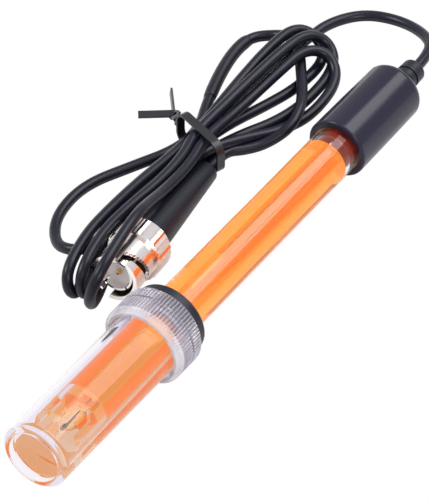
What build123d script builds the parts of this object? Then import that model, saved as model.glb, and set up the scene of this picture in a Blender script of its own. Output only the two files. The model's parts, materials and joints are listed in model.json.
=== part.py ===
from build123d import *
import math
import os

# Redox electrode in its storage bottle, with a tied cable and a bayonet plug.
# Millimetres, +Z up, +X from the bottle towards the handle.
# Electrode and bottle are turned about their own X axis, with x = 0 at the
# electrode's tip, and then laid on the table. The plug is turned about its
# own X axis too, with x = 0 at its open front, and laid beside them.

# Fits
slide_gap = 0.05          # radial clearance of parts that turn or slide
face_gap = 0.05           # axial clearance between their faces
bond_gap = 0.02           # glue line of parts that never move
cut_past = 1.0            # how far a cut runs past the face that it opens

# Electrode shaft: a clear tube whose end is slotted into a guard
shaft_radius = 6.0
shaft_wall = 1.2
exposed_length = 113.9    # tip to the mouth of the handle
guard_slot_width = 3.4
guard_slot_depth = 6.6
guard_slots = 2           # each one crosses the tube, so four prongs remain
guard_angle = 45.0

# Sensor and reference inside the shaft
stem_radius = 2.0
stem_wall = 0.5
stem_setback = 2.6        # rounded glass end behind the guard's end
stem_top_gap = 10.0       # from the stem's top to the shaft's top
pin_radius = 0.45
pin_length = 4.5
pin_proud = 0.7
sensor_lead_radius = 0.2
plug_start = 7.6
plug_length = 3.2
junction_radius = 0.6
junction_angle = 55.0
junction_proud = 0.3      # porous rod stands out of the tip plug
reference_offset = 3.4    # reference wire from the shaft's axis
reference_wire_radius = 0.3
element_radius = 0.8
element_start = 52.0
element_length = 12.0
air_gap = 2.4             # between the gel and the potting
potting_recess = 0.5      # below the shaft's top edge
potting_length = 19.6
wire_end_gap = 2.4        # wires end this far below the potting's top
core_radius = 0.8
core_length = 6.4

# Handle and strain relief
handle_mouth_radius = 7.7
handle_top_radius = 7.45
handle_length = 26.9
handle_mouth_round = 0.6
handle_top_round = 2.0
socket_depth = 18.0       # how deep the shaft sits in the handle
relief_radius = 3.25
relief_end_radius = 2.95
relief_length = 8.5
relief_round = 0.6
relief_shank_radius = 2.6
relief_flange_radius = 4.2
relief_flange_length = 1.5
relief_grooves = 2
relief_plain_bands = 2    # plain ends, in groove pitches
relief_groove_width = 0.9
relief_groove_depth = 0.45

# Storage bottle
cap_radius = 10.4
cap_length = 9.7
cap_web = 1.4
cap_wall = 1.55
cap_chamfer = 1.0
cap_ribs = 76
cap_rib_depth = 0.34
cap_groove_from_top = 4.0
cap_groove_width = 0.5
cap_groove_depth = 0.5
seal_hole_radius = 7.7
seal_collar_radius = 9.2
seal_collar_height = 2.45
seal_collar_round = 0.7
seal_foot_height = 2.4
seal_foot_gap = 0.15      # to the cap's skirt
tip_room = 6.0            # from the electrode's tip to the vial's floor
vial_length = 47.0
vial_wall = 1.45
vial_draft = 0.15         # mouth radius less base radius
thread_space = 0.4        # between the vial's neck and the cap's skirt
vial_round = 0.8
foot_ring_width = 1.9
foot_ring_height = 1.2
foot_ring_round = 0.55
vial_floor = 1.3
solution_gap = 0.05
solution_shaft_gap = 0.15
solution_level = -0.6     # liquid surface against the shaft's axis at the tip

# Bayonet plug
nut_radius = 7.0
nut_ring_length = 6.2
nut_sleeve_radius = 5.9
nut_sleeve_length = 9.4
nut_bore_radius = 4.95
nut_chamfer = 0.45
nut_flutes = 30
nut_flute_depth = 0.22
slot_radius = 1.1
slot_entry = 2.6
slot_climb = 2.8
slot_angle = 20.0
slot_sweep = 75.0
slot_steps = 9
catch_flange_length = 1.0
catch_flange_start = 8.6
neck_radius = 4.3
washer_thickness = 0.35
washer_split = 0.8
gasket_edge_gap = 0.2
washer_edge_gap = 0.1
contact_sleeve_radius = 4.05
contact_sleeve_wall = 0.5
contact_sleeve_setback = 1.2
contact_slit = 0.5
contact_slit_depth = 5.0
contact_slit_angles = (45, 135)
collar_radius = 4.6
collar_length = 1.6
stem_tube_radius = 1.9
stem_tube_bore = 1.5
stem_tube_length = 8.0
ferrule_radius = 2.4
ferrule_length = 8.6
insulator_setback = 3.2
insulator_length = 9.6
contact_pin_radius = 0.68
contact_pin_tip_radius = 0.27
contact_pin_setback = 1.9
contact_pin_length = 11.0
contact_pin_point = 0.7
gasket_length = 1.1
boot_setback = 0.45       # from the collar's front face
boot_length = 31.5
boot_wide_radius = 4.75
boot_narrow_radius = 2.75
boot_round = 0.5
plug_rear_place = (25.4, 24.4)      # boot's narrow end on the table
plug_heading = 187.0                # towards the plug's front, degrees from +X

# Cable
cord_radius = 1.35
marker_radius = 1.6
lead_first_run = 8.4
tail_first_run = 4.8
lead_points = [
    (95.4, 6.4, 4.2),
    (98.8, 15.6, 1.9),
    (95.8, 24.6, 1.36),
    (87.8, 29.6, 1.36),
    (79.2, 31.0, 1.36),
]
marker_run_points = [
    (37.0, 34.4, 2.1),
    (46.5, 38.4, 1.62),
    (57.0, 41.6, 1.62),
    (66.0, 43.2, 1.62),
    (72.6, 42.6, 1.5),
    (76.4, 37.8, 1.6),
    (75.6, 33.0, 4.2),
]
marker_start = 12.0                 # sleeve's start along that run
marker_length = 23.2
loose_loop_points = [
    (27.5, 34.6, 2.6),
    (18.0, 40.6, 1.6),
    (6.5, 46.6, 1.36),
    (-5.5, 46.2, 1.36),
    (-13.6, 41.0, 1.6),
    (-15.6, 34.6, 4.2),
]
tail_last_point = (34.6, 24.6, 1.9)

# Hank of cable: (x, y from, y to, z from, z to) of its section at each station
hank_left_stations = [
    (-27.5, 24.5, 31.4, 1.6, 8.0),
    (-20.5, 26.6, 36.0, 0.1, 12.0),
    (-13.0, 28.4, 38.0, 0.1, 13.0),
    (-4.0, 30.0, 38.5, 0.1, 12.6),
    (12.0, 28.0, 38.0, 0.1, 10.8),
    (25.0, 28.2, 37.2, 0.4, 9.2),
]
hank_right_stations = [
    (38.0, 20.5, 36.2, 0.1, 8.8),
    (46.0, 16.4, 35.2, 0.1, 9.0),
    (56.0, 14.0, 36.0, 0.1, 9.0),
    (66.0, 14.6, 37.2, 0.1, 9.0),
    (74.0, 17.0, 36.8, 0.1, 8.0),
    (81.0, 22.0, 34.4, 1.0, 6.6),
]
hank_round = 2.4

# Waist of the hank, where the tie goes round it
waist_middle = (31.0, 30.0, 4.75)
waist_slant = -20.0                 # the tie's heading, in degrees from +X
waist_wide = 15.4
waist_high = 8.1
waist_length = 3.2
tie_width = 2.2
tie_thickness = 0.5
tie_gap = 0.1
tie_twists = 3
tie_twist_pitch = 0.9
tie_twist_angle = 60.0
tie_twist_rise = 0.2
tie_knot_drop = 1.0                 # knot below the band's upper corner
tie_flat_tail = 8.5
tie_flat_swing = 56.0               # tails turn from the waist's own Y, in degrees
tie_edge_tail = 7.0
tie_edge_swing = -30.0
tie_edge_rise = 12.0

# Sizes that follow from the ones above
shaft_bore = shaft_radius - shaft_wall
shaft_length = exposed_length + socket_depth
handle_top = exposed_length + handle_length
relief_end = handle_top + relief_length
potting_top = shaft_length - potting_recess
potting_start = potting_top - potting_length
gel_start = plug_start + plug_length + bond_gap
gel_end = potting_start - air_gap
stem_top = shaft_length - stem_top_gap
wire_end = potting_top - wire_end_gap
element_end = element_start + element_length
core_end = shaft_length + bond_gap
core_start = core_end - core_length
cap_bore = cap_radius - cap_wall - cap_rib_depth / 2
vial_base = -tip_room - vial_floor - foot_ring_height
vial_mouth = vial_base + vial_length
seal_foot_start = vial_mouth + face_gap
seal_foot_end = seal_foot_start + seal_foot_height
web_start = seal_foot_end + face_gap
cap_top = web_start + cap_web
cap_start = cap_top - cap_length
vial_mouth_radius = cap_bore - thread_space
vial_base_radius = vial_mouth_radius - vial_draft
vial_recess = vial_base + foot_ring_height
vial_bottom = vial_recess + vial_floor
nut_length = nut_sleeve_length + nut_ring_length
catch_flange_end = catch_flange_start + catch_flange_length
nut_shoulder = catch_flange_end + washer_thickness + 2 * face_gap
collar_start = nut_length + face_gap
collar_end = collar_start + collar_length
boot_start = collar_start + boot_setback
boot_end = boot_start + boot_length


def turned(outline, rounds=()):
    """A solid turned about X from (x, radius) corners; rounds pairs a corner with a radius."""
    section = make_face(Polyline(*outline, close=True)).face()
    for corner, radius in rounds:
        nearest = section.vertices().sort_by_distance(Vector(*corner))[0]
        section = section.fillet_2d(radius, [nearest])
    return revolve(section, Axis.X)


def rod(start, end, radius, y=0.0, z=0.0):
    """A round bar along X."""
    bar = Cylinder(radius, end - start, align=(Align.CENTER, Align.CENTER, Align.MIN))
    return Pos(start, y, z) * Rot(0, 90, 0) * bar


def ring(start, end, outer, inner):
    """A plain sleeve along X."""
    return turned([(start, inner), (start, outer), (end, outer), (end, inner)])


def fluted_bar(start, end, tip_radius, depth, count):
    """A bar along X with V-shaped ribs whose tips lie at tip_radius."""
    outline = []
    for rib in range(count):
        tip = 2 * math.pi * rib / count
        root = tip + math.pi / count
        outline.append((tip_radius * math.cos(tip), tip_radius * math.sin(tip)))
        root_radius = tip_radius - depth
        outline.append((root_radius * math.cos(root), root_radius * math.sin(root)))
    section = make_face(Polyline(*outline, close=True))
    return extrude(Plane.YZ.offset(start) * section, end - start)


def taper_radius(place, start, start_radius, end, end_radius):
    """Radius of a cone at a place between its two ends."""
    return start_radius + (end_radius - start_radius) * (place - start) / (end - start)


def resting_tilt(front_x, front_radius, rear_x, rear_radius):
    """Tilt in degrees at which a turned part touches the table at both places."""
    return math.degrees(math.atan2(front_radius - rear_radius, rear_x - front_x))


# Electrode

def body_tube():
    tube = ring(0, shaft_length, shaft_radius, shaft_bore)
    shoulder = guard_slot_depth - guard_slot_width / 2
    half = guard_slot_width / 2
    outline = [
        (-cut_past, -half),
        (shoulder, -half),
        (guard_slot_depth, 0),
        (shoulder, half),
        (-cut_past, half),
    ]
    slot = extrude(make_face(Polyline(*outline, close=True)), shaft_radius + cut_past, both=True)
    for index in range(guard_slots):
        tube -= Rot(guard_angle + 180 * index / guard_slots, 0, 0) * slot
    return tube


def glass_stem():
    inner = stem_radius - stem_wall
    bulb_centre = stem_setback + stem_radius
    wall = Pos(bulb_centre, 0, 0) * Sphere(stem_radius) + rod(bulb_centre, stem_top, stem_radius)
    wall -= Pos(bulb_centre, 0, 0) * Sphere(inner) + rod(bulb_centre, stem_top + cut_past, inner)
    return wall - rod(0, bulb_centre, pin_radius + bond_gap)


def platinum_pin():
    start = stem_setback - pin_proud
    return rod(start, start + pin_length, pin_radius)


def platinum_lead():
    return rod(stem_setback - pin_proud + pin_length, core_start, sensor_lead_radius)


def junction_place():
    angle = math.radians(junction_angle)
    return -reference_offset * math.sin(angle), reference_offset * math.cos(angle)


def reference_junction():
    y, z = junction_place()
    return rod(plug_start - junction_proud, plug_start + plug_length, junction_radius, y, z)


def tip_plug():
    y, z = junction_place()
    disc = rod(plug_start, plug_start + plug_length, shaft_bore - bond_gap)
    disc -= rod(0, gel_end, stem_radius + bond_gap)
    return disc - rod(0, gel_end, junction_radius + bond_gap, y, z)


def reference_element():
    return rod(element_start, element_end, element_radius, 0, reference_offset)


def reference_wire():
    return rod(element_end, wire_end, reference_wire_radius, 0, reference_offset)


def electrolyte_gel():
    fill = rod(gel_start, gel_end, shaft_bore - bond_gap)
    fill -= rod(0, shaft_length, stem_radius + bond_gap)
    pocket_start = element_start - bond_gap
    pocket_end = element_end + bond_gap
    fill -= rod(pocket_start, pocket_end, element_radius + bond_gap, 0, reference_offset)
    return fill - rod(element_end, shaft_length, reference_wire_radius + bond_gap, 0, reference_offset)


def potting_plug():
    fill = rod(potting_start, potting_top, shaft_bore - bond_gap)
    fill -= rod(0, stem_top + bond_gap, stem_radius + bond_gap)
    fill -= rod(0, wire_end + bond_gap, reference_wire_radius + bond_gap, 0, reference_offset)
    fill -= rod(0, shaft_length, sensor_lead_radius + bond_gap)
    return fill - rod(core_start - bond_gap, shaft_length, core_radius + bond_gap)


def coax_core():
    return rod(core_start, core_end, core_radius)


def handle_cap():
    shell = turned(
        [
            (exposed_length, 0),
            (exposed_length, handle_mouth_radius),
            (handle_top, handle_top_radius),
            (handle_top, 0),
        ],
        [
            ((exposed_length, handle_mouth_radius), handle_mouth_round),
            ((handle_top, handle_top_radius), handle_top_round),
        ],
    )
    shell -= rod(0, shaft_length, shaft_radius + bond_gap)
    flange_end = shaft_length + relief_flange_length + 2 * bond_gap
    shell -= rod(shaft_length, flange_end, relief_flange_radius + bond_gap)
    return shell - rod(shaft_length, handle_top + cut_past, relief_shank_radius + bond_gap)


def strain_relief():
    flange_start = core_end
    flange_end = flange_start + relief_flange_length
    nose = handle_top + bond_gap
    relief = turned(
        [
            (flange_start, 0),
            (flange_start, relief_flange_radius),
            (flange_end, relief_flange_radius),
            (flange_end, relief_shank_radius),
            (nose, relief_shank_radius),
            (nose, relief_radius),
            (relief_end, relief_end_radius),
            (relief_end, 0),
        ],
        [((relief_end, relief_end_radius), relief_round)],
    )
    pitch = relief_length / (relief_grooves + relief_plain_bands)
    groove_floor = relief_radius - relief_groove_depth
    for groove in range(relief_grooves):
        start = nose + pitch * (groove + 1)
        relief -= ring(start, start + relief_groove_width, relief_radius + cut_past, groove_floor)
    return relief


# Storage bottle

def storage_vial():
    foot_inner = vial_base_radius - foot_ring_width
    base_bore = vial_base_radius - vial_wall
    mouth_bore = vial_mouth_radius - vial_wall
    return turned(
        [
            (vial_recess, 0),
            (vial_recess, foot_inner),
            (vial_base, foot_inner),
            (vial_base, vial_base_radius),
            (vial_mouth, vial_mouth_radius),
            (vial_mouth, mouth_bore),
            (vial_bottom, base_bore),
            (vial_bottom, 0),
        ],
        [
            ((vial_base, foot_inner), foot_ring_round),
            ((vial_base, vial_base_radius), vial_round),
            ((vial_bottom, base_bore), vial_round),
        ],
    )


def storage_solution():
    """Liquid round the shaft, still without its surface: that is cut once the bottle lies down."""
    base_bore = vial_base_radius - vial_wall - solution_gap
    mouth_bore = vial_mouth_radius - vial_wall - solution_gap
    start = vial_bottom + solution_gap
    end = vial_mouth - solution_gap
    fill = turned(
        [(start, 0), (start, base_bore), (end, mouth_bore), (end, 0)],
        [((start, base_bore), vial_round)],
    )
    return fill - rod(-solution_shaft_gap, vial_mouth, shaft_radius + solution_shaft_gap)


def knurled_cap():
    drum = fluted_bar(cap_start, cap_top, cap_radius, cap_rib_depth, cap_ribs)
    groove = cap_top - cap_groove_from_top
    rim = cap_radius - cap_chamfer
    floor = cap_radius - cap_groove_depth
    over = cap_radius + cut_past
    chamfer_reach = over - rim          # the chamfer is at 45 degrees
    envelope = turned(
        [
            (cap_start, 0),
            (cap_start, rim),
            (cap_start + chamfer_reach, over),
            (groove - cap_groove_width / 2, over),
            (groove - cap_groove_width / 2, floor),
            (groove + cap_groove_width / 2, floor),
            (groove + cap_groove_width / 2, over),
            (cap_top - chamfer_reach, over),
            (cap_top, rim),
            (cap_top, 0),
        ]
    )
    cap = drum & envelope
    cap -= rod(cap_start - cut_past, web_start, cap_bore)
    return cap - rod(web_start, cap_top + cut_past, seal_hole_radius)


def seal_ring():
    neck = seal_hole_radius - slide_gap
    foot = cap_bore - seal_foot_gap
    seal_collar_start = cap_top + face_gap
    seal_collar_end = seal_collar_start + seal_collar_height
    bore = shaft_radius + slide_gap
    return turned(
        [
            (seal_foot_start, bore),
            (seal_foot_start, foot),
            (seal_foot_end, foot),
            (seal_foot_end, neck),
            (seal_collar_start, neck),
            (seal_collar_start, seal_collar_radius),
            (seal_collar_end, seal_collar_radius),
            (seal_collar_end, bore),
        ],
        [((seal_collar_end, seal_collar_radius), seal_collar_round)],
    )


# Bayonet plug

def bayonet_slot():
    """One slot: straight in from the front, then a climbing ramp to a round catch."""
    reach = nut_sleeve_radius + cut_past
    cutter = Cylinder(slot_radius, reach, align=(Align.CENTER, Align.CENTER, Align.MIN))
    along = (Align.MAX, Align.CENTER, Align.MIN)
    entry = Box(slot_entry + cut_past, 2 * slot_radius, reach, align=along)
    slot = Pos(slot_entry, 0, 0) * entry
    for step in range(slot_steps + 1):
        share = step / slot_steps
        slot += Rot(slot_sweep * share, 0, 0) * Pos(slot_entry + slot_climb * share, 0, 0) * cutter
    return slot


def coupling_nut():
    drum = fluted_bar(nut_sleeve_length, nut_length, nut_radius, nut_flute_depth, nut_flutes)
    over = nut_radius + cut_past
    envelope = turned(
        [
            (nut_sleeve_length, 0),
            (nut_sleeve_length, nut_radius - nut_chamfer),
            (nut_sleeve_length + nut_chamfer + cut_past, over),
            (nut_length - nut_chamfer - cut_past, over),
            (nut_length, nut_radius - nut_chamfer),
            (nut_length, 0),
        ]
    )
    nut = (drum & envelope) + rod(0, nut_length, nut_sleeve_radius)
    nut -= rod(-cut_past, nut_shoulder, nut_bore_radius)
    nut -= rod(nut_shoulder, nut_length + cut_past, neck_radius + slide_gap)
    for side in (0, 180):
        nut -= Rot(side + slot_angle, 0, 0) * bayonet_slot()
    return nut


def connector_body():
    inner = contact_sleeve_radius - contact_sleeve_wall
    body = turned(
        [
            (contact_sleeve_setback, inner),
            (contact_sleeve_setback, contact_sleeve_radius),
            (catch_flange_start, contact_sleeve_radius),
            (catch_flange_start, nut_bore_radius - slide_gap),
            (catch_flange_end, nut_bore_radius - slide_gap),
            (catch_flange_end, neck_radius),
            (collar_start, neck_radius),
            (collar_start, collar_radius),
            (collar_end, collar_radius),
            (collar_end, stem_tube_radius),
            (collar_end + stem_tube_length, stem_tube_radius),
            (collar_end + stem_tube_length, stem_tube_bore),
            (collar_start, stem_tube_bore),
            (collar_start, inner),
        ]
    )
    slit = Box(2 * contact_slit_depth, 3 * contact_sleeve_radius, contact_slit)
    for angle in contact_slit_angles:
        body -= Pos(contact_sleeve_setback, 0, 0) * Rot(angle, 0, 0) * slit
    return body


def connector_insulator():
    outer = contact_sleeve_radius - contact_sleeve_wall - bond_gap
    end = insulator_setback + insulator_length
    return ring(insulator_setback, end, outer, contact_pin_radius + bond_gap)


def centre_pin():
    end = contact_pin_setback + contact_pin_length
    return turned(
        [
            (contact_pin_setback, 0),
            (contact_pin_setback, contact_pin_tip_radius),
            (contact_pin_setback + contact_pin_point, contact_pin_radius),
            (end, contact_pin_radius),
            (end, 0),
        ]
    )


def connector_gasket():
    start = catch_flange_start - gasket_length - face_gap
    outer = nut_bore_radius - gasket_edge_gap
    return ring(start, catch_flange_start - face_gap, outer, contact_sleeve_radius + bond_gap)


def spring_washer():
    start = catch_flange_end + face_gap
    outer = nut_bore_radius - washer_edge_gap
    washer = ring(start, start + washer_thickness, outer, neck_radius + slide_gap)
    return washer - Pos(start, outer, 0) * Box(4 * washer_thickness, outer, washer_split)


def crimp_ferrule():
    start = collar_end + bond_gap
    return ring(start, start + ferrule_length, ferrule_radius, stem_tube_radius + bond_gap)


def connector_boot():
    boot = turned(
        [
            (boot_start, 0),
            (boot_start, boot_wide_radius),
            (boot_end, boot_narrow_radius),
            (boot_end, 0),
        ],
        [
            ((boot_start, boot_wide_radius), boot_round),
            ((boot_end, boot_narrow_radius), boot_round),
        ],
    )
    boot -= rod(boot_start - cut_past, collar_end + bond_gap, collar_radius + bond_gap)
    ferrule_end = collar_end + bond_gap + ferrule_length
    return boot - rod(collar_end, ferrule_end + bond_gap, ferrule_radius + bond_gap)


# Cable

def bend_radii(route):
    """The largest radius that the two runs beside each corner allow."""
    radii = []
    for before, corner, after in zip(route, route[1:], route[2:]):
        run_in = Vector(*corner) - Vector(*before)
        run_out = Vector(*after) - Vector(*corner)
        half_turn = math.radians(run_in.get_angle(run_out)) / 2
        radii.append(0.45 * min(run_in.length, run_out.length) / math.tan(half_turn))
    return radii


def cord_tube(name, route):
    """Straight runs joined by tangent arcs; prints its radii and checks its volume."""
    path = FilletPolyline(*route, radius=bend_radii(route))
    tube = sweep(Plane(origin=path @ 0, z_dir=path % 0) * Circle(cord_radius), path)
    share = tube.volume / (math.pi * cord_radius**2 * path.length)
    print(name, "radii", [round(radius, 1) for radius in bend_radii(route)])
    print(name, "length", round(path.length, 1), "volume share", round(share, 4))
    return tube


def marker_sleeve():
    """A shrunk-on sleeve over part of its run."""
    run = FilletPolyline(*marker_run_points, radius=bend_radii(marker_run_points))
    covered = run.trim(marker_start / run.length, (marker_start + marker_length) / run.length)
    start = Plane(origin=covered @ 0, z_dir=covered % 0)
    return sweep(start * (Circle(marker_radius) - Circle(cord_radius + bond_gap)), covered)


def station_section(station):
    x, y_from, y_to, z_from, z_to = station
    middle = (x, (y_from + y_to) / 2, (z_from + z_to) / 2)
    plane = Plane(origin=middle, x_dir=(0, 1, 0), z_dir=(1, 0, 0))
    return plane * RectangleRounded(y_to - y_from, z_to - z_from, hank_round)


def waist_frame():
    """Place of the waist: X along the hank, Y across it, Z up."""
    return Pos(*waist_middle) * Rot(0, 0, waist_slant)


def waist_section(along, margin=0.0):
    """The waist's outline, grown by a margin, at a distance along from its middle."""
    plane = Plane(origin=(along, 0, 0), x_dir=(0, 1, 0), z_dir=(1, 0, 0))
    outline = RectangleRounded(waist_wide + 2 * margin, waist_high + 2 * margin, hank_round + margin)
    return waist_frame() * (plane * outline)


def cable_hank():
    sections = [station_section(station) for station in hank_left_stations]
    sections += [waist_section(-waist_length / 2), waist_section(waist_length / 2)]
    sections += [station_section(station) for station in hank_right_stations]
    return loft(sections, ruled=True)


def twist_tie():
    """A flat wire tie: a band round the waist, a twist and two splayed tails."""
    front = -tie_width / 2
    outline = waist_section(front, tie_gap + tie_thickness) - waist_section(front, tie_gap)
    tie = waist_frame().inverse() * extrude(outline, tie_width)
    side = waist_wide / 2 + tie_gap + tie_thickness / 2
    knot = Vector(0, side, waist_high / 2 - hank_round - tie_knot_drop)
    step = Vector(0, tie_twist_pitch, tie_twist_rise)
    strip = Box(tie_width, 2 * tie_thickness, tie_width)
    for twist in range(tie_twists):
        place = knot + step * (twist + 0.5)
        tie += Pos(place) * Rot(0, tie_twist_angle * twist, 0) * strip
    tail_root = knot + step * tie_twists
    outward = (Align.CENTER, Align.MIN, Align.CENTER)
    flat_tail = Box(tie_width, tie_flat_tail, tie_thickness, align=outward)
    edge_tail = Box(tie_thickness, tie_edge_tail, tie_width, align=outward)
    tie += Pos(tail_root) * Rot(0, 0, tie_flat_swing) * flat_tail
    tie += Pos(tail_root) * Rot(tie_edge_rise, 0, tie_edge_swing) * edge_tail
    return waist_frame() * tie


# Laying the parts on the table

handle_heel = handle_top - handle_top_round
handle_heel_radius = taper_radius(
    handle_heel, exposed_length, handle_mouth_radius, handle_top, handle_top_radius
)
shaft_tilt = resting_tilt(cap_top - cap_chamfer, cap_radius, handle_heel, handle_heel_radius)
boot_heel = boot_end - boot_round
boot_heel_radius = taper_radius(boot_heel, boot_start, boot_wide_radius, boot_end, boot_narrow_radius)
plug_tilt = resting_tilt(nut_length - nut_chamfer, nut_radius, boot_heel, boot_heel_radius)

bench = {
    "body_tube": body_tube(),
    "tip_plug": tip_plug(),
    "glass_stem": glass_stem(),
    "platinum_pin": platinum_pin(),
    "platinum_lead": platinum_lead(),
    "reference_junction": reference_junction(),
    "reference_element": reference_element(),
    "reference_wire": reference_wire(),
    "electrolyte_gel": electrolyte_gel(),
    "potting_plug": potting_plug(),
    "coax_core": coax_core(),
    "handle_cap": handle_cap(),
    "strain_relief": strain_relief(),
    "storage_vial": storage_vial(),
    "storage_solution": storage_solution(),
    "knurled_cap": knurled_cap(),
    "seal_ring": seal_ring(),
}
shaft_lean = Rot(0, shaft_tilt, 0)
reach = Compound(children=[shaft_lean * piece for piece in bench.values()]).bounding_box()
lay_down = Pos(-(reach.min.X + reach.max.X) / 2, 0, -reach.min.Z) * shaft_lean

plug = {
    "coupling_nut": coupling_nut(),
    "connector_body": connector_body(),
    "connector_insulator": connector_insulator(),
    "centre_pin": centre_pin(),
    "connector_gasket": connector_gasket(),
    "spring_washer": spring_washer(),
    "crimp_ferrule": crimp_ferrule(),
    "connector_boot": connector_boot(),
}
plug_lean = Rot(0, 0, plug_heading - 180) * Rot(0, plug_tilt, 0)
plug_reach = Compound(children=[plug_lean * piece for piece in plug.values()]).bounding_box()
rear = (plug_lean * Pos(boot_end, 0, 0)).position
lay_plug = Pos(plug_rear_place[0] - rear.X, plug_rear_place[1] - rear.Y, -plug_reach.min.Z) * plug_lean

pieces = {name: lay_down * piece for name, piece in bench.items()}
pieces.update({name: lay_plug * piece for name, piece in plug.items()})

tip = (lay_down * Pos(0, 0, 0)).position
above_level = Pos(tip.X, 0, tip.Z + solution_level) * Box(
    4 * vial_length, 4 * cap_radius, 4 * cap_radius, align=(Align.CENTER, Align.CENTER, Align.MIN)
)
pieces["storage_solution"] -= above_level

cable_exit = (lay_down * Pos(relief_end, 0, 0)).position
lead_first = (lay_down * Pos(relief_end + lead_first_run, 0, 0)).position
tail_exit = (lay_plug * Pos(boot_end, 0, 0)).position
tail_first = (lay_plug * Pos(boot_end + tail_first_run, 0, 0)).position

pieces["cable_lead"] = cord_tube("lead", [tuple(cable_exit), tuple(lead_first), *lead_points])
pieces["cable_marker_run"] = cord_tube("marker run", marker_run_points)
pieces["cable_loose_loop"] = cord_tube("loose loop", loose_loop_points)
pieces["cable_tail"] = cord_tube("tail", [tuple(tail_exit), tuple(tail_first), tail_last_point])
pieces["marker_sleeve"] = marker_sleeve()
pieces["cable_hank"] = cable_hank()
pieces["twist_tie"] = twist_tie()

os.makedirs("parts", exist_ok=True)
for name, piece in pieces.items():
    export_step(piece, f"parts/{name}.step")
print("tilt", round(shaft_tilt, 3), "plug tilt", round(plug_tilt, 3), "tip", tip)
print("cable exit", cable_exit, "first", lead_first)
print("tail exit", tail_exit, "first", tail_first)
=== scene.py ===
# %% [markdown]
# # A redox electrode in its storage bottle, with its tied cable
#
# The electrode lies on a table with its tip in a clear bottle. Its solids come in as a fixed frame, in
# metres. This file makes anew what plain solids can't show well: the cable as one tube, its sleeve, the gel
# and the liquid. Then it adds the finishes, the table and the light.

import json
import math
import bmesh
import bpy
import numpy as np
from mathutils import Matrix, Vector


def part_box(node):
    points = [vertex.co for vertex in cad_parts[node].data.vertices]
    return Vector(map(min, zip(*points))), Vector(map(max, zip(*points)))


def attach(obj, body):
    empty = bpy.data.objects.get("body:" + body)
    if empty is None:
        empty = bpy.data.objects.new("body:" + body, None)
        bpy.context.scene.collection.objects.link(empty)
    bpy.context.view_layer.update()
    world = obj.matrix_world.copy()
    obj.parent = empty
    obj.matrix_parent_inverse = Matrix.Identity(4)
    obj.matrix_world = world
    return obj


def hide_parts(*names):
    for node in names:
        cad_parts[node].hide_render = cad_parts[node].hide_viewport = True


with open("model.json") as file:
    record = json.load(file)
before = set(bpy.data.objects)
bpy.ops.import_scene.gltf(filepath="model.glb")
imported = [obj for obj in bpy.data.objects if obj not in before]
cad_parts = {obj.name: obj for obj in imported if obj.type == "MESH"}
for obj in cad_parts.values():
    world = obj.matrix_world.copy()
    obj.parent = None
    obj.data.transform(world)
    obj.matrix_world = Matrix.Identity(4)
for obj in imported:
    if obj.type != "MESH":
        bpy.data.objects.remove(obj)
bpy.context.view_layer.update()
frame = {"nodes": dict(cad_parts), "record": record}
nodes = frame["nodes"]
MM = 0.001
print("nodes:", len(nodes))

# %% [markdown]
# ## Camera
# Small things are usually shown with a long lens from far away, so that a straight shaft stays nearly
# straight-sided. This camera stands 0.9 m off, beyond the bottle's foot, and looks down at cap and plug.

# %% Camera
camera_data = bpy.data.cameras.new("camera")
camera_data.sensor_fit = "AUTO"
camera_data.sensor_width = 36.0
camera_data.lens = 280.8
camera_data.clip_start = 0.05
camera = bpy.data.objects.new("camera", camera_data)
camera.location = Vector((-532.0, -348.3, 632.4)) * MM
aim = Vector((-3.32, 3.19, 11.5)) * MM
camera.rotation_euler = (aim - camera.location).to_track_quat("-Z", "Y").to_euler()
bpy.context.scene.collection.objects.link(camera)
bpy.context.scene.camera = camera
print("camera at", round((aim - camera.location).length, 3), "m from the middle")

# %% [markdown]
# ## The cable
# The cable is one limp round cord, wound up by hand and tied, so no two of its turns are alike. A physics
# run could drop it on the table, but the heap that it makes can't be steered. Listed control points
# keep every turn where it belongs. They are in millimetres.
#
# The lead leaves the handle's gland and comes round to the tie. Nine strands go through the tie. `passes`
# holds the first seven of those places, as (y, z) at `tie_x`, and the last two belong to the strands after.

# %% Lead and the places in the tie
CABLE_D = 2.7
exit_point = (78.939, 0.0, 7.15)
lead = [
    (87.335, 0, 6.897), (94, 6, 4.4), (97.4, 15.4, 1.9), (95.2, 24.2, 1.36), (87.8, 29.6, 1.36),
    (79.2, 31, 1.36), (70.5, 31.9, 1.4), (60, 32.3, 1.4), (50, 32.3, 1.4), (40, 31.7, 1.8),
]
tie_x = 31
passes = [(31.4, 2.1), (32.8, 4.6), (29.9, 4.6), (31.4, 7.1), (28.4, 2.1), (28.5, 7.1), (27, 4.6)]
print("places in the tie:", len(passes))

# %% [markdown]
# From six of those places the cable runs out to a hairpin and back. Each hairpin is written as the points
# of the leg out, then knee, tip and knee of the turn, then the points of the leg back. The odd ones lie on
# the left of the tie and the even ones on its right. The heights carry a strand over those that lie lower.

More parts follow.
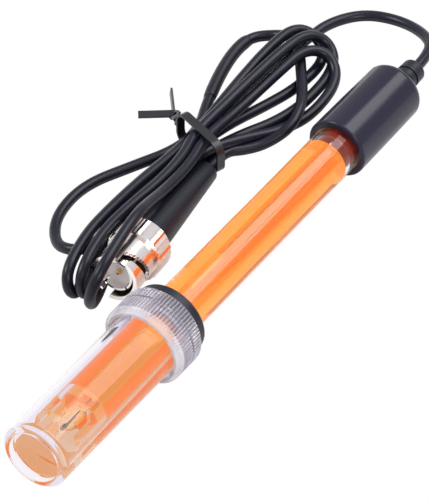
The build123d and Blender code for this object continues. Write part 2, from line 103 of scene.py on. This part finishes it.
# %% Hairpins
hairpins = [
    (
        [(12, 34.4, 1.4), (-2, 34, 1.4), (-12, 31.9, 1.4)],
        (-21, 27.6, 1.4), (-27, 27.2, 5.6), (-22.5, 29.4, 10.2),
        [(-14, 31.2, 10.4), (-3.6, 32, 9.4), (9, 32.5, 7.8), (21.3, 32.4, 6)],
    ),
    (
        [(41, 32.9, 5.4), (54, 33.5, 6.2), (66, 33.6, 7)],
        (73, 32.4, 6.6), (78.8, 28.4, 3.8), (72.6, 22.6, 1.4),
        [(63.5, 23.2, 1.4), (53, 26.3, 1.4), (43, 29.2, 2.3)],
    ),
    (
        [(12, 31.7, 1.4), (-2, 31.3, 1.4), (-12, 29.2, 1.4)],
        (-20, 25.9, 1.6), (-26, 24.5, 6.2), (-21.2, 26.1, 11.2),
        [(-13.2, 27.6, 11.7), (-1, 28.3, 10.2), (10, 28.1, 8.7), (21.7, 28.9, 7.6)],
    ),
    (
        [(42, 30.9, 7.4), (54, 30.4, 7.8), (65, 29.6, 8.3)],
        (71, 28.2, 7.9), (77.4, 24, 4.8), (70.5, 19.2, 1.6),
        [(60, 18.6, 1.5), (50, 20.9, 1.4), (41, 25.4, 1.6)],
    ),
    (
        [(14, 29, 1.4), (0, 28.6, 1.4), (-12, 26.4, 1.4)],
        (-21.5, 22.1, 1.6), (-29, 19.9, 8.4), (-23, 19, 15.4),
        [(-16, 20.4, 16.4), (-7.5, 21.7, 16.4), (0, 23.3, 13.4), (8, 24.6, 10.1), (20, 26, 7.6)],
    ),
    (
        [(42, 28.5, 5.6), (54, 28.2, 5.2), (61, 27.2, 6.3)],
        (66, 25.6, 7), (73.4, 21.2, 4.9), (65.5, 15.5, 2),
        [(57, 14.9, 1.5), (48, 18.2, 1.4), (40, 22.9, 2.8)],
    ),
]
print("hairpins:", len(hairpins))

# %% [markdown]
# After the hairpins the cable makes one loose loop on the left, a wide run on the right that carries a
# shrunk sleeve, and a short tail into the plug's boot.

# %% Loose loop, marked run and tail
loose_loop = [
    (20, 28.9, 4.5), (9, 31, 4.3), (-2, 31.8, 4.2), (-12, 31.2, 4.4), (-15.6, 34.6, 4.2),
    (-13.6, 41, 1.6), (-5.5, 46.2, 1.36), (6.5, 46.6, 1.36), (18, 40.6, 1.6), (27.5, 34.6, 2.6),
]
marker_run = [
    (37, 34.4, 2.1), (46.5, 38.4, 1.62), (57, 41.6, 1.62), (66, 43.2, 1.62), (72.6, 42.6, 1.5),
    (76.4, 37.8, 1.6), (75.6, 33, 4.2), (71.4, 28, 4.4), (66.6, 24.6, 4.3), (60.8, 20.4, 4.3),
    (54.5, 16.8, 4.6), (48, 15.6, 3.6), (42, 18.6, 1.5), (37.5, 21.8, 1.5),
]
tail = [(34.6, 24.6, 1.9), (30.12, 24.98, 2.07), (25.4, 24.4, 2.7)]
print("points after the hairpins:", len(loose_loop) + len(marker_run) + len(tail))

# %% [markdown]
# A turn needs points outside its own curve, because this kind of spline cuts its corners. `bend` puts them
# there, so that the strand really reaches the tip.

# %% Route from gland to boot


def bend(knee_out, tip, knee_in, steps=3):
    """Control points of a half turn over the tip: centre + grow * (cos k * half + sin k * reach)."""
    out, top, back = (np.array(p, float) for p in (knee_out, tip, knee_in))
    centre, half = (out + back) / 2, (out - back) / 2
    grow = 1 / math.cos(math.pi / steps / 2)
    turns = math.pi * (np.arange(steps) + 0.5) / steps
    return [tuple(centre + grow * (math.cos(k) * half + math.sin(k) * (top - centre))) for k in turns]


route = [exit_point, *lead]
for through, (leg_out, knee_out, tip, knee_in, leg_in) in zip(passes, hairpins):
    route += [(tie_x, *through), *leg_out, *bend(knee_out, tip, knee_in), *leg_in]
route += [(tie_x, *passes[-1]), *loose_loop, *marker_run, *tail]
print("control points:", len(route))

# %% [markdown]
# A curve object with a round bevel turns the route into a tube, and it stays easy to change. Each point
# carries the tube's radius and the bevel itself is 1, because Blender also pads a curve's outer box by the
# radius of its points. The points of the bare line are taken before the bevel is on.

# %% The cable as one round tube
cable_curve = bpy.data.curves.new("cable", "CURVE")
cable_curve.dimensions = "3D"
spline = cable_curve.splines.new("NURBS")
spline.points.add(len(route) - 1)
for point, place in zip(spline.points, route):
    point.co = (place[0] * MM, place[1] * MM, place[2] * MM, 1.0)
    point.radius = CABLE_D / 2 * MM
spline.order_u = 3
spline.use_endpoint_u = True
cable_curve.resolution_u = 14
cable = bpy.data.objects.new("cable", cable_curve)
bpy.context.scene.collection.objects.link(cable)


def line_of(curve_object):
    """The points along a curve that has no thickness yet."""
    mesh = bpy.data.meshes.new_from_object(curve_object)
    flat = np.empty(len(mesh.vertices) * 3)
    mesh.vertices.foreach_get("co", flat)
    bpy.data.meshes.remove(mesh)
    return flat.reshape(-1, 3)


cable_line = line_of(cable)
cable_curve.bevel_depth = 1.0
cable_curve.bevel_resolution = 6
cable_curve.use_fill_caps = True
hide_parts("cable_lead", "cable_marker_run", "cable_loose_loop", "cable_tail", "cable_hank")
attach(cable, "electrode")

# %% [markdown]
# ## Pieces made from arrays
# Sleeve, gel and liquid are stacks of rings, so one helper serves all three: it takes the rings as one
# array and joins each ring to the next with four-sided faces. Clear pieces need faces that point outwards,
# or the light bends the wrong way, so the helper makes sure of that too.

# %% Rings to a mesh


def grid_mesh(name, rings, closed_rings=False, caps=False, smooth=True):
    """A mesh from rings, shape (rings, around, 3): quad (i, j) joins ring i to ring i + 1."""
    count, around = rings.shape[:2]
    i, j = np.meshgrid(np.arange(count if closed_rings else count - 1), np.arange(around), indexing="ij")
    up, side = (i + 1) % count, (j + 1) % around
    quads = np.stack([i * around + j, i * around + side, up * around + side, up * around + j], -1)
    faces = quads.reshape(-1, 4).tolist()
    if caps:
        faces += [list(range(around))[::-1], list(range((count - 1) * around, count * around))]
    mesh = bpy.data.meshes.new(name)
    mesh.from_pydata(rings.reshape(-1, 3).tolist(), [], faces)
    shape = bmesh.new()
    shape.from_mesh(mesh)
    bmesh.ops.recalc_face_normals(shape, faces=shape.faces)
    shape.to_mesh(mesh)
    shape.free()
    mesh.polygons.foreach_set("use_smooth", np.full(len(mesh.polygons), smooth))
    mesh.update()
    piece = bpy.data.objects.new(name, mesh)
    bpy.context.scene.collection.objects.link(piece)
    return piece


print("rings to mesh: ready")

# %% [markdown]
# A tube along a path and a body turned about an axis are the two shapes needed. In both, a ring is a wheel
# of points round its centre, and one array holds all the rings, so there is no loop over points.

# %% Two ways to lay out rings


def tube_rings(path, radii, around=32):
    """Rings across a path: point + r (cos a * side + sin a * up), with side = tangent x Z."""
    tangent = np.gradient(path, axis=0)
    tangent /= np.linalg.norm(tangent, axis=1, keepdims=True)
    side = np.cross(tangent, (0, 0, 1.0))
    side /= np.linalg.norm(side, axis=1, keepdims=True)
    up = np.cross(side, tangent)
    a = np.linspace(0, 2 * math.pi, around, endpoint=False)
    wheel = np.cos(a)[None, :, None] * side[:, None] + np.sin(a)[None, :, None] * up[:, None]
    return path[:, None] + np.asarray(radii)[:, None, None] * wheel


def lathe_rings(outline, start, along, around=96):
    """Rings turned about an axis: start + x * along + r (cos a * side + sin a * up)."""
    along = np.asarray(along, float) / np.linalg.norm(along)
    side = np.cross(along, (0, 0, 1.0))
    side /= np.linalg.norm(side)
    up = np.cross(side, along)
    a = np.linspace(0, 2 * math.pi, around, endpoint=False)
    wheel = np.cos(a)[:, None] * side + np.sin(a)[:, None] * up
    x, r = np.array(outline, float).T
    return np.asarray(start) + x[:, None, None] * along + r[:, None, None] * wheel[None]


print("tube and lathe: ready")

# %% [markdown]
# A piece of shrunk tube sits tight on the outermost strand on the right. A second curve would have to be
# laid along the first. Instead its rings sit on the cable's own points, as far as they lie in the box of its
# solid and past y = 36 mm. The radius swells from both ends over a twelfth of the length.

# %% Sleeve on the marked strand
sleeve_strand_y = 0.036
sleeve_end_radius, sleeve_swell = 1.46, 0.16
sleeve_low, sleeve_high = (np.array(corner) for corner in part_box("marker_sleeve"))
on_sleeve = np.all((cable_line > sleeve_low) & (cable_line < sleeve_high), axis=1)
on_sleeve &= cable_line[:, 1] > sleeve_strand_y
covered = cable_line[on_sleeve]
reach = np.linspace(0, 1, len(covered))
sleeve_radii = (sleeve_end_radius + sleeve_swell * np.minimum(1, 12 * np.minimum(reach, 1 - reach))) * MM
sleeve = grid_mesh("sleeve", tube_rings(covered, sleeve_radii), caps=True)
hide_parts("marker_sleeve")
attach(sleeve, "electrode")
print("sleeve points", len(covered))

# %% [markdown]
# ## The clear body's gel and liquid
# Gel and tube touch without air between them. Two faces in one place would flicker, and a gap would show as
# a silver air film. So each fill's own surface lies a hair inside the clear wall: the light then enters the
# fill without meeting air. Places along the electrode are counted from the shaft's front end.

# %% Gel inside the tube
axis_start = np.array((-0.0702935, 0.0, 0.0116415))
axis_along = np.array((0.99955, 0.0, -0.03008))
gel_from, gel_to = 10.82 * MM, 109.5 * MM
gel_radius = 4.83 * MM
stem_skin = 2.01 * MM
edge_radius, edge_length = gel_radius * 0.98, 0.1 * MM
gel_outline = [
    (gel_from, stem_skin), (gel_from, edge_radius), (gel_from + edge_length, gel_radius),
    *[(gel_from + (gel_to - gel_from) * t, gel_radius) for t in np.linspace(0.02, 0.98, 12)],
    (gel_to - edge_length, gel_radius), (gel_to, edge_radius), (gel_to, stem_skin),
]
gel = grid_mesh("gel", lathe_rings(gel_outline, axis_start, axis_along), closed_rings=True)
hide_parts("electrolyte_gel")
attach(gel, "electrode")
print("gel length", round((gel_to - gel_from) / MM, 1), "mm")

# %% [markdown]
# The bottle lies down, so its liquid is a trough under a level surface, and the shaft dips into it. A
# boolean cut of three round bodies can leave slivers there. Instead each ring is the trough's outline at
# one place: the bottle's arc under the level, and back along the shaft's arc. In front of the shaft's end
# that second arc shrinks to almost nothing. The faces stay flat, so that the level looks level.

# %% Liquid in the lying bottle
level = 11.04 * MM
skin = 0.03 * MM
shaft_radius, needle_radius = 6.0 * MM, 0.7 * MM
liquid_start, liquid_end = -6.03 * MM, 38.45 * MM
bore_start, bore_end = 6.68 * MM, 6.83 * MM


def liquid_ring(x, shaft, around=48):
    """Outline at x: the bottle's arc (r cos a, r sin a) under the level, then back on the shaft's arc."""
    centre = axis_start + x * axis_along
    dip = (level - centre[2]) / axis_along[0]
    share = (x - liquid_start) / (liquid_end - liquid_start)
    outer = bore_start + (bore_end - bore_start) * share + skin
    rim, inner_rim = math.asin(dip / outer), math.asin(max(-1.0, min(1.0, dip / shaft)))
    down = np.linspace(math.pi - rim, 2 * math.pi + rim, around)
    back = np.linspace(2 * math.pi + inner_rim, math.pi - inner_rim, around)
    y = np.concatenate([outer * np.cos(down), shaft * np.cos(back)])
    z = np.concatenate([outer * np.sin(down), shaft * np.sin(back)])
    across = np.cross((0.0, 1.0, 0.0), axis_along)
    return centre + y[:, None] * np.array((0.0, 1.0, 0.0)) - z[:, None] * across


before_shaft = [(x, needle_radius) for x in (liquid_start, -3.0 * MM, -0.2 * MM)]
round_shaft = [(x, shaft_radius - skin) for x in (-0.15 * MM, *np.linspace(0.0, liquid_end, 24))]
liquid_rings = np.array([liquid_ring(x, shaft) for x, shaft in before_shaft + round_shaft])
solution = grid_mesh("solution", liquid_rings, caps=True, smooth=False)
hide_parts("storage_solution")
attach(solution, "bottle")
print("liquid rings", len(liquid_rings))

# %% [markdown]
# ## Finishes
# Every finish is a Principled surface. Its pattern, where it has one, is a node group that gives out only a
# mask or a colour, so that it can be used again, and the shader itself stays in the material.

# %% Node helpers


def new_material(name):
    """A new material, its node tree and its Principled shader."""
    material = bpy.data.materials.new(name)
    material.use_nodes = True
    return material, material.node_tree, material.node_tree.nodes["Principled BSDF"]


def principled(name, color, roughness, **sockets):
    """A plain Principled surface; sockets are given by name with _ for a space."""
    material, _, shader = new_material(name)
    shader.inputs["Base Color"].default_value = (*color, 1.0)
    shader.inputs["Roughness"].default_value = roughness
    for key, value in sockets.items():
        shader.inputs[key.replace("_", " ")].default_value = value
    return material


def math_node(tree, operation, *values):
    """One step of arithmetic; each value is a socket to link or a plain number."""
    step = tree.nodes.new("ShaderNodeMath")
    step.operation = operation
    for place, value in enumerate(values):
        if isinstance(value, bpy.types.NodeSocket):
            tree.links.new(value, step.inputs[place])
        else:
            step.inputs[place].default_value = value
    return step


def two_tone(tree, amount, first, second):
    """A blend over an amount from 0 to 1; each tone is (the amount where it is pure, red, green, blue)."""
    ramp = tree.nodes.new("ShaderNodeValToRGB")
    for stop, (position, *color) in zip(ramp.color_ramp.elements, (first, second)):
        stop.position = position
        stop.color = (*color, 1.0)
    tree.links.new(amount, ramp.inputs["Fac"])
    return ramp.outputs["Color"]


print("node helpers ready")

# %% [markdown]
# Moulded plastic, rubber and plated metal are never quite even: a fine grain makes their shine a little
# softer here and harder there. A noise in Object coordinates gives that without any picture, and it stays
# in place when a piece moves.

# %% Fine grain


def fine_grain_group():
    """Mask from fine noise in object coordinates, 0 to 1."""
    group = bpy.data.node_groups.new("fine_grain", "ShaderNodeTree")
    group.interface.new_socket("Scale", in_out="INPUT", socket_type="NodeSocketFloat")
    group.interface.new_socket("Mask", in_out="OUTPUT", socket_type="NodeSocketFloat")
    entry = group.nodes.new("NodeGroupInput")
    leave = group.nodes.new("NodeGroupOutput")
    place = group.nodes.new("ShaderNodeTexCoord")
    noise = group.nodes.new("ShaderNodeTexNoise")
    noise.inputs["Detail"].default_value = 4.0
    group.links.new(place.outputs["Object"], noise.inputs["Vector"])
    group.links.new(entry.outputs["Scale"], noise.inputs["Scale"])
    group.links.new(noise.outputs["Fac"], leave.inputs["Mask"])
    return group


fine_grain = fine_grain_group()
grain_depth = 0.1 * MM


def grained(name, color, scale, rough, bump, **sockets):
    """A Principled surface with grain: the mask sets a bump, and roughness from rough[0] to rough[1]."""
    material = principled(name, color, rough[0], **sockets)
    tree = material.node_tree
    shader = tree.nodes["Principled BSDF"]
    grain = tree.nodes.new("ShaderNodeGroup")
    grain.node_tree = fine_grain
    grain.inputs["Scale"].default_value = scale
    spread = tree.nodes.new("ShaderNodeMapRange")
    spread.inputs["To Min"].default_value, spread.inputs["To Max"].default_value = rough
    raised = tree.nodes.new("ShaderNodeBump")
    raised.inputs["Strength"].default_value = bump
    raised.inputs["Distance"].default_value = grain_depth
    tree.links.new(grain.outputs["Mask"], spread.inputs["Value"])
    tree.links.new(spread.outputs["Result"], shader.inputs["Roughness"])
    tree.links.new(grain.outputs["Mask"], raised.inputs["Height"])
    tree.links.new(raised.outputs["Normal"], shader.inputs["Normal"])
    return material


print("group:", fine_grain.name)

# %% [markdown]
# Handle, gland, boot, cable, sleeve and tie are all black, but not one black: the handle is hard and
# shines most, rubber is duller. A touch of blue and a weak shine keep them deep under a bright room. The
# tie and the plug's gasket are so small that they keep the usual shine.

# %% Black plastic and rubber
weak_shine = 0.26


def deep_black(name, color, scale, rough, bump):
    """A grained black with about half the shine that Blender gives a plain surface (0.5)."""
    return grained(name, color, scale, rough, bump, Specular_IOR_Level=weak_shine)


black_handle = deep_black("black handle", (0.018, 0.016, 0.032), 900, (0.15, 0.2), 0.03)
black_rubber = deep_black("black rubber", (0.011, 0.012, 0.021), 1200, (0.34, 0.44), 0.1)
black_boot = deep_black("black boot", (0.009, 0.009, 0.017), 1000, (0.3, 0.4), 0.08)
black_cable = deep_black("black cable", (0.008, 0.008, 0.017), 1500, (0.26, 0.36), 0.08)
black_sleeve = deep_black("black sleeve", (0.009, 0.009, 0.016), 1500, (0.32, 0.44), 0.12)
black_tie = grained("black tie", (0.006, 0.006, 0.009), 1500, (0.3, 0.44), 0.12)
dark_gasket = principled("dark gasket", (0.015, 0.015, 0.015), 0.5)
print("black finishes: 7")

# %% [markdown]
# The plug is nickel plated, its centre pin is gold. The sensor pin is platinum, and its colour is darkened
# as painted shade, for how dark it looks in the liquid. The reference is a silver wire. Its coat of silver
# salt lies deep in the gel where little light comes, so a weak painted glow stands in for that light and
# keeps it from going black. The plug's insulator is white plastic, and the porous rod at the tip is
# white ceramic.

# %% Metals, the reference's coat and the whites
nickel = grained("nickel", (0.88, 0.82, 0.79), 700, (0.12, 0.22), 0.03, Metallic=1.0)
gold = principled("gold", (0.9, 0.62, 0.25), 0.22, Metallic=1.0)
silver = principled("silver", (0.75, 0.74, 0.72), 0.3, Metallic=1.0)
# Painted shade: the platinum's colour is darkened for how dark it looks in the liquid.
platinum = principled("platinum", (0.35, 0.28, 0.22), 0.35, Metallic=0.8)
# Painted glow: the emission stands in for the light that doesn't reach the coat deep in the gel.
silver_chloride = principled(
    "silver chloride", (0.9, 0.55, 0.25), 0.6, Emission_Color=(1.0, 0.6, 0.28, 1.0), Emission_Strength=0.45,
)
white_plastic = principled("white plastic", (0.86, 0.85, 0.84), 0.4)
white_ceramic = principled("white ceramic", (0.82, 0.78, 0.7), 0.8)
print("metals and whites: 7")

# %% [markdown]
# Clear pieces let the light through and bend it. Real clear plastic bends it more, with an index near 1.5,
# but the bottle's thick foot ring then showed black crescents. A lower index keeps the clear walls pale.
# The potting is a dark red resin that lets only half of the light through.

# %% Clear finishes
potting = principled("dark potting", (0.40, 0.035, 0.006), 0.15, Transmission_Weight=0.5, IOR=1.4)
clear_tube = principled("clear tube", (0.99, 0.965, 0.95), 0.02, Transmission_Weight=1.0, IOR=1.3)
sensor_glass = principled("sensor glass", (0.97, 0.97, 0.96), 0.0, Transmission_Weight=1.0, IOR=1.5)
clear_resin = principled("clear resin", (1.0, 0.62, 0.28), 0.06, Transmission_Weight=0.95, IOR=1.4)
clear_bottle = principled("clear bottle", (0.93, 0.91, 0.955), 0.05, Transmission_Weight=1.0, IOR=1.24)
liquid = principled("storage liquid", (1.0, 0.50, 0.18), 0.0, Transmission_Weight=1.0, IOR=1.27)
print("materials:", len(bpy.data.materials))

# %% [markdown]
# The gel is clear amber. Its darker streaks along the tube are painted light and shade for the stem inside,
# which bends the light through the gel. Their colour follows a noise that is thirty times finer across the
# shaft than along it, and a little painted glow in that colour stands for the light that wanders inside a
# gel.

# %% Amber gel


def amber_group():
    """Colour of the gel, painted streaks for the stem's refraction: two ambers mixed by a noise stretched
    along the tube.
    """
    group = bpy.data.node_groups.new("amber_painted_streaks", "ShaderNodeTree")
    group.interface.new_socket("Color", in_out="OUTPUT", socket_type="NodeSocketColor")
    leave = group.nodes.new("NodeGroupOutput")
    place = group.nodes.new("ShaderNodeTexCoord")
    stretch = group.nodes.new("ShaderNodeMapping")
    stretch.inputs["Scale"].default_value = (14.0, 420.0, 420.0)
    noise = group.nodes.new("ShaderNodeTexNoise")
    noise.inputs["Scale"].default_value = 1.0
    noise.inputs["Detail"].default_value = 3.0
    group.links.new(place.outputs["Object"], stretch.inputs["Vector"])
    group.links.new(stretch.outputs["Vector"], noise.inputs["Vector"])
    color = two_tone(group, noise.outputs["Fac"], (0.35, 1.0, 0.33, 0.03), (0.65, 1.0, 0.43, 0.075))
    group.links.new(color, leave.inputs["Color"])
    return group


amber, amber_tree, amber_shader = new_material("amber gel")
painted_streaks = amber_tree.nodes.new("ShaderNodeGroup")
painted_streaks.node_tree = amber_group()
amber_tree.links.new(painted_streaks.outputs["Color"], amber_shader.inputs["Base Color"])
# The same colour drives a painted glow, though the gel is no lamp.
amber_tree.links.new(painted_streaks.outputs["Color"], amber_shader.inputs["Emission Color"])
amber_shader.inputs["Roughness"].default_value = 0.1
amber_shader.inputs["IOR"].default_value = 1.36
amber_shader.inputs["Transmission Weight"].default_value = 0.93
amber_shader.inputs["Emission Strength"].default_value = 0.12
amber_shader.inputs["Specular IOR Level"].default_value = 0.2
print("group:", painted_streaks.node_tree.name)

# %% [markdown]
# The cap is clear and ribbed for the fingers, with a smooth shoulder in front. The ribs are real shape in
# the solid. Painted shade darkens their grooves and the crests stay pale, and a wave of the angle round
# the axis finds them.

# %% Ribbed clear cap
cap_ribs = 76
cap_axis_height = 0.01051
shoulder_end = -0.0355


def rib_group():
    """Mask of the ribs: |sin(ribs / 2 * angle)|, angle of (y, z - axis height), and 0 on the shoulder."""
    group = bpy.data.node_groups.new("rib_lines", "ShaderNodeTree")
    group.interface.new_socket("Mask", in_out="OUTPUT", socket_type="NodeSocketFloat")
    leave = group.nodes.new("NodeGroupOutput")
    place = group.nodes.new("ShaderNodeTexCoord")
    split = group.nodes.new("ShaderNodeSeparateXYZ")
    group.links.new(place.outputs["Object"], split.inputs["Vector"])
    drop = math_node(group, "SUBTRACT", split.outputs["Z"], cap_axis_height)
    angle = math_node(group, "ARCTAN2", split.outputs["Y"], drop.outputs["Value"])
    turns = math_node(group, "MULTIPLY", angle.outputs["Value"], cap_ribs / 2)
    wave = math_node(group, "SINE", turns.outputs["Value"])
    height = math_node(group, "ABSOLUTE", wave.outputs["Value"])
    behind = math_node(group, "GREATER_THAN", split.outputs["X"], shoulder_end)
    ribbed = math_node(group, "MULTIPLY", height.outputs["Value"], behind.outputs["Value"])
    group.links.new(ribbed.outputs["Value"], leave.inputs["Mask"])
    return group


clear_cap, cap_tree, cap_shader = new_material("clear cap")
ribs = cap_tree.nodes.new("ShaderNodeGroup")
ribs.node_tree = rib_group()
# Painted shade: dark lilac in the grooves, near white on the crests and the shoulder.
rib_painted_shade = two_tone(cap_tree, ribs.outputs["Mask"], (0.15, 0.97, 0.95, 0.97), (0.8, 0.42, 0.38, 0.46))
cap_tree.links.new(rib_painted_shade, cap_shader.inputs["Base Color"])
cap_shader.inputs["Roughness"].default_value = 0.1
cap_shader.inputs["IOR"].default_value = 1.3
cap_shader.inputs["Transmission Weight"].default_value = 0.72
print("ribs:", cap_ribs)

# %% [markdown]
# Inside a thick clear wall, light can bounce to and fro many times. A render gives up after some bounces
# and shows black, where real plastic shows a pale tint. So past a certain depth six of the clear finishes
# end in a painted glow of a set colour, which stands in for the light that real plastic lets through.
# Light Path counts the bounces, and it stays in the material.

# %% Pale depths


def pale_depths(material, color, depth):
    """Blend to a painted glow in `color` where the ray depth is above `depth`: 0 up to it, 1 past it."""
    tree = material.node_tree
    light_path = tree.nodes.new("ShaderNodeLightPath")
    deep = math_node(tree, "GREATER_THAN", light_path.outputs["Ray Depth"], depth)
    depth_glow = tree.nodes.new("ShaderNodeEmission")
    depth_glow.inputs["Color"].default_value = (*color, 1.0)
    both = tree.nodes.new("ShaderNodeMixShader")
    tree.links.new(deep.outputs["Value"], both.inputs["Fac"])
    tree.links.new(tree.nodes["Principled BSDF"].outputs["BSDF"], both.inputs[1])
    tree.links.new(depth_glow.outputs["Emission"], both.inputs[2])
    tree.links.new(both.outputs["Shader"], tree.nodes["Material Output"].inputs["Surface"])


depth_glows = [
    (clear_bottle, (0.84, 0.79, 0.90), 3.5),
    (clear_cap, (0.66, 0.60, 0.70), 4.5),
    (clear_tube, (0.92, 0.55, 0.26), 5.5),
    (clear_resin, (1.0, 0.50, 0.18), 5.5),
    (liquid, (1.0, 0.48, 0.18), 6.5),
    (amber, (1.0, 0.33, 0.05), 5.5),
]
for finish, color, depth in depth_glows:
    pale_depths(finish, color, depth)
print("pale depths on", len(depth_glows), "clear finishes")

# %% [markdown]
# Each solid names the slot that it wears, and the pieces made above wear the slot of what they stand for.
# One dictionary from slot to finish dresses them all, so that no solid has to be dressed by hand.

# %% Which piece wears what
wear = {
    "clear_tube": clear_tube, "clear_resin": clear_resin, "sensor_glass": sensor_glass, "platinum": platinum,
    "white_ceramic": white_ceramic, "silver_chloride": silver_chloride, "silver": silver,
    "dark_potting": potting, "white_plastic": white_plastic, "black_handle": black_handle,
    "black_rubber": black_rubber, "clear_bottle": clear_bottle, "storage_liquid": liquid,
    "clear_cap": clear_cap, "nickel": nickel, "gold_pin": gold, "dark_gasket": dark_gasket,
    "black_boot": black_boot, "black_tie": black_tie, "black_cable": black_cable,
    "black_sleeve": black_sleeve, "amber_gel": amber,
}
for entry in frame["record"]["subparts"]:
    node = nodes[entry["node"]]
    node.data.materials.clear()
    node.data.materials.append(wear[entry["material_slot"]])
cable_curve.materials.append(black_cable)
sleeve.data.materials.append(black_sleeve)
gel.data.materials.append(amber)
solution.data.materials.append(liquid)

# %% [markdown]
# ## Table and light
# The table is white card. It would need a lot of light to look white, and that would wash out the object.
# So the camera, and every ray that has come through something clear, sees it as plain white, while the
# object is lit by the card as it really is.

# %% Table
bpy.ops.mesh.primitive_plane_add(size=4.0, location=(0, 0, -0.0001))
table = bpy.context.object
table.name = "table"
card, card_tree, card_shader = new_material("table")
card_shader.inputs["Base Color"].default_value = (0.9, 0.9, 0.9, 1.0)
card_shader.inputs["Roughness"].default_value = 0.9
glow = card_tree.nodes.new("ShaderNodeEmission")
glow.inputs["Color"].default_value = (1.0, 1.0, 1.0, 1.0)
ray = card_tree.nodes.new("ShaderNodeLightPath")
seen = math_node(card_tree, "MAXIMUM", ray.outputs["Is Camera Ray"], ray.outputs["Transmission Depth"])
seen.use_clamp = True
blend = card_tree.nodes.new("ShaderNodeMixShader")
card_tree.links.new(seen.outputs["Value"], blend.inputs["Fac"])
card_tree.links.new(card_shader.outputs["BSDF"], blend.inputs[1])
card_tree.links.new(glow.outputs["Emission"], blend.inputs[2])
card_tree.links.new(blend.outputs["Shader"], card_tree.nodes["Material Output"].inputs["Surface"])
table.data.materials.append(card)
print("table", round(table.dimensions.x, 2), "m wide")

# %% [markdown]
# Three soft square lights stand round the table. The widest is mirrored in the handle and draws the pale
# band along it, the second lights the coil from behind, and a weak one fills in from the front.

# %% Lights


def soft_light(name, place, size, power):
    """A square light that looks at the middle of the table."""
    data = bpy.data.lights.new(name, "AREA")
    data.size = size
    data.energy = power
    lamp = bpy.data.objects.new(name, data)
    lamp.location = place
    lamp.rotation_euler = (-Vector(place)).to_track_quat("-Z", "Y").to_euler()
    bpy.context.scene.collection.objects.link(lamp)


soft_light("band", (0.5, -0.22, 0.8), 0.7, 7.0)
soft_light("key", (-0.35, 0.75, 0.8), 0.5, 7.0)
soft_light("front", (-0.45, -0.7, 0.6), 0.4, 3.0)
print("lights: 3")

# %% [markdown]
# The room round the table is white to the camera and through clear pieces, a little dimmer where a surface
# mirrors it, and dim as a light on everything else, so that the three lights give the form.

# %% Room
room_dim, room_white, mirror_share = 0.42, 1.0, 0.6
world = bpy.data.worlds.new("room")
world.use_nodes = True
room_tree = world.node_tree
room = room_tree.nodes["Background"]
room.inputs["Color"].default_value = (0.95, 0.96, 1.0, 1.0)
kind = room_tree.nodes.new("ShaderNodeLightPath").outputs
through = math_node(room_tree, "MAXIMUM", kind["Is Camera Ray"], kind["Transmission Depth"])
shine = math_node(room_tree, "MULTIPLY_ADD", kind["Is Glossy Ray"], mirror_share, through.outputs["Value"])
shine.use_clamp = True
strength = room_tree.nodes.new("ShaderNodeMapRange")
strength.inputs["To Min"].default_value = room_dim
strength.inputs["To Max"].default_value = room_white
room_tree.links.new(shine.outputs["Value"], strength.inputs["Value"])
room_tree.links.new(strength.outputs["Result"], room.inputs["Strength"])
bpy.context.scene.world = world
bpy.context.scene.view_settings.view_transform = "Standard"
print("room from", room_dim, "to", room_white)
